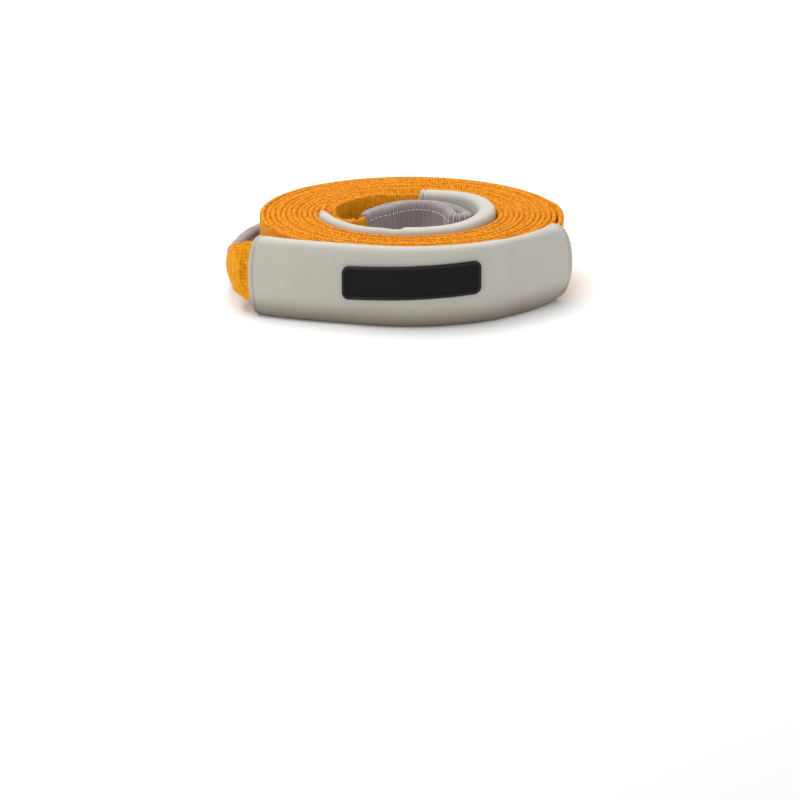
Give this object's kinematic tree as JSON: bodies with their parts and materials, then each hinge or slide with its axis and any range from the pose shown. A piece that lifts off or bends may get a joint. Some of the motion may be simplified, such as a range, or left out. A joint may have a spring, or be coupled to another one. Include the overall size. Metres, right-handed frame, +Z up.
{
  "type": "rolled recovery strap",
  "caption": "Wide webbing strap rolled up on its edge, with a sewn eye at each end, padded sleeves over the runs and a blank patch, for towing a vehicle.",
  "frame": {"origin": "on the floor, under the middle of the box round the whole rolled strap", "axes": "+Z up along the roll's axis, -Y towards the front, where the patch is, +X to the right as seen from the front"},
  "size_m": [0.2884, 0.2728, 0.0668],
  "materials": {
    "webbing": "orange woven nylon webbing with a cross rib",
    "wear_sleeve": "pale grey padded fabric, smooth and matte",
    "eye_sleeve": "grey gathered fabric with pale stitching",
    "patch": "black grained rubber with a raised border"
  },
  "bodies": {
    "root": {"webbing": "webbing", "outer_wear_sleeve": "wear_sleeve", "inner_wear_sleeve": "wear_sleeve", "outer_eye_sleeve": "eye_sleeve", "inner_eye_sleeve": "eye_sleeve", "label_patch": "patch"}
  },
  "joints": []
}
